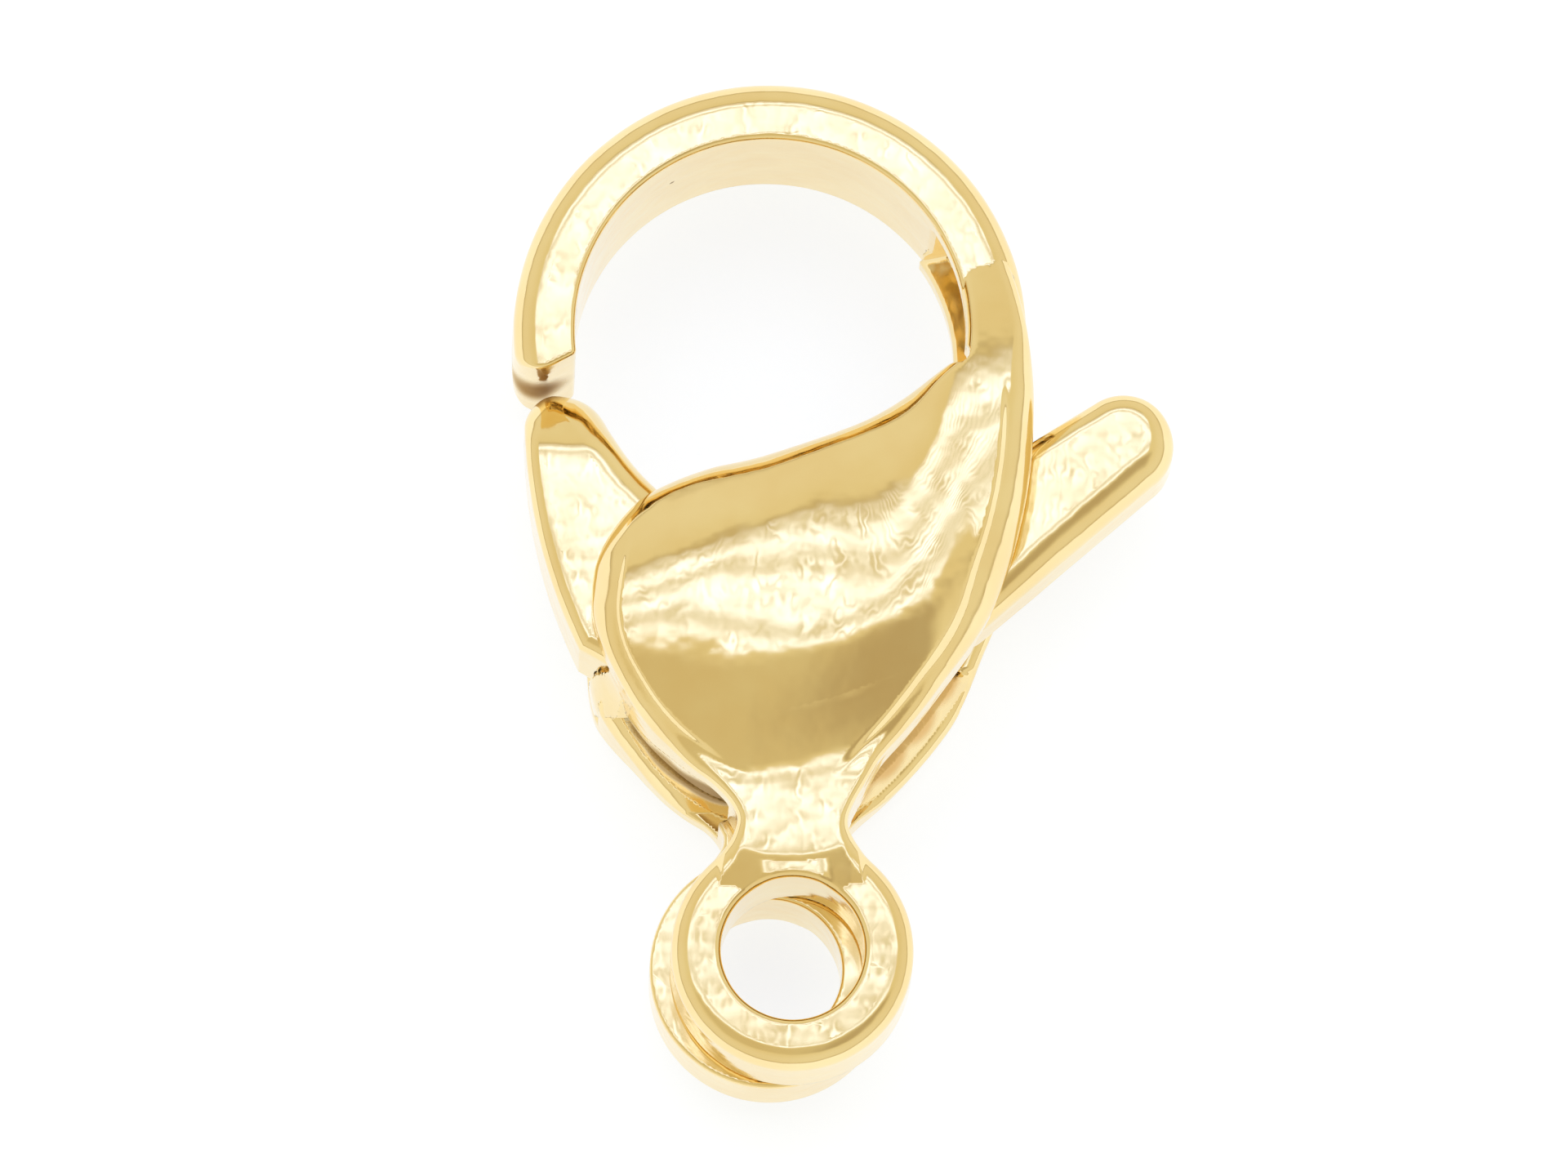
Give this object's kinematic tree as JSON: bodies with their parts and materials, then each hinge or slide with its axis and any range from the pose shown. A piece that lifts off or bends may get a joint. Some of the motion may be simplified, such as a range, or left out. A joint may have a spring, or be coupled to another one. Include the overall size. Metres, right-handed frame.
{
  "type": "lobster clasp",
  "caption": "Small gold-coloured lobster clasp with a sprung gate, a thumb tab and an eye for a jump ring.",
  "frame": {"origin": "centre of the eye's hole, halfway through its thickness", "axes": "+Z out of the front face along the eye's hole, +Y from the eye to the top of the hook, +X to the side of the thumb tab"},
  "size_m": [0.0079, 0.012, 0.0034],
  "materials": {
    "gold": "polished, gold-plated",
    "steel": "plain"
  },
  "bodies": {
    "body": {"body": "gold", "pivot_pin": "steel"},
    "lever": {"lever": "gold"}
  },
  "joints": [
    {"name": "gate", "type": "hinge", "parent": "body", "child": "lever", "pos_m": [-0.00069, 0.00304, 0], "axis": [0, 0, -1], "range_deg": [0, 25], "stiffness_Nm_per_rad": 0.008, "springref_deg": -11.46}
  ]
}
